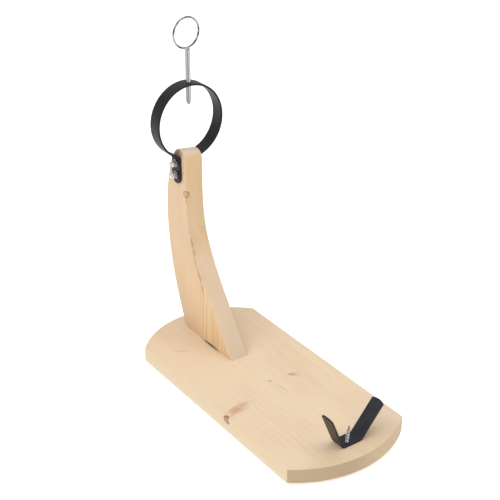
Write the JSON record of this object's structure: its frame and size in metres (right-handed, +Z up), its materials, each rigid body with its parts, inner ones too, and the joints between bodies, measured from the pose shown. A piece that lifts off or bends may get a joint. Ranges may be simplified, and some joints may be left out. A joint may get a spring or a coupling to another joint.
{
  "type": "ham holder stand",
  "caption": "Wooden board with a curved column carrying a steel ring and a drop-in pin for a ham's shank, and a low steel V cradle with a spike for its thick end.",
  "frame": {"origin": "middle of the bottom of the bounding box, on the surface the feet stand on", "axes": "+Z up; +X along the board to the front, from the column to the cradle; +Y across the board, to the bolt heads' side of the column, the nuts being on -Y"},
  "size_m": [0.393, 0.1746, 0.4487],
  "materials": {
    "board_wood": "planed and sanded pine, thin clear satin oil, faint straight grain and small knots",
    "column_wood": "band-sawn and sanded pine, thin clear satin oil, reddish grain near the foot",
    "black_steel": "satin black paint on flat steel strap",
    "bright_steel": "polished bright steel",
    "zinc_steel": "bright zinc plate",
    "foot_rubber": "matt moulded rubber"
  },
  "bodies": {
    "stand": {"base_board": "board_wood", "column": "column_wood", "column_screw_back": "zinc_steel", "column_screw_middle": "zinc_steel", "column_screw_front": "zinc_steel", "ring_strap": "black_steel", "ring_bolt_lower": "zinc_steel", "ring_nut_lower": "zinc_steel", "nut_washer_lower": "zinc_steel", "head_washer_lower": "zinc_steel", "ring_bolt_upper": "zinc_steel", "ring_nut_upper": "zinc_steel", "nut_washer_upper": "zinc_steel", "head_washer_upper": "zinc_steel", "spike_screw": "zinc_steel", "foot_front_left": "foot_rubber", "foot_screw_front_left": "zinc_steel", "foot_front_right": "foot_rubber", "foot_screw_front_right": "zinc_steel", "foot_back_left": "foot_rubber", "foot_screw_back_left": "zinc_steel", "foot_back_right": "foot_rubber", "foot_screw_back_right": "zinc_steel"},
    "pin": {"pin_rod": "bright_steel", "pin_handle": "bright_steel"},
    "cradle": {"cradle": "black_steel"}
  },
  "joints": [
    {"name": "pin_slide", "type": "slide", "parent": "stand", "child": "pin", "axis": [0, 0, 1], "range_m": [-0.042, 0.024]},
    {"name": "cradle_swivel", "type": "hinge", "parent": "stand", "child": "cradle", "pos_m": [0.1666, -0.0008, 0.024], "axis": [0, 0, 1], "continuous": true}
  ]
}
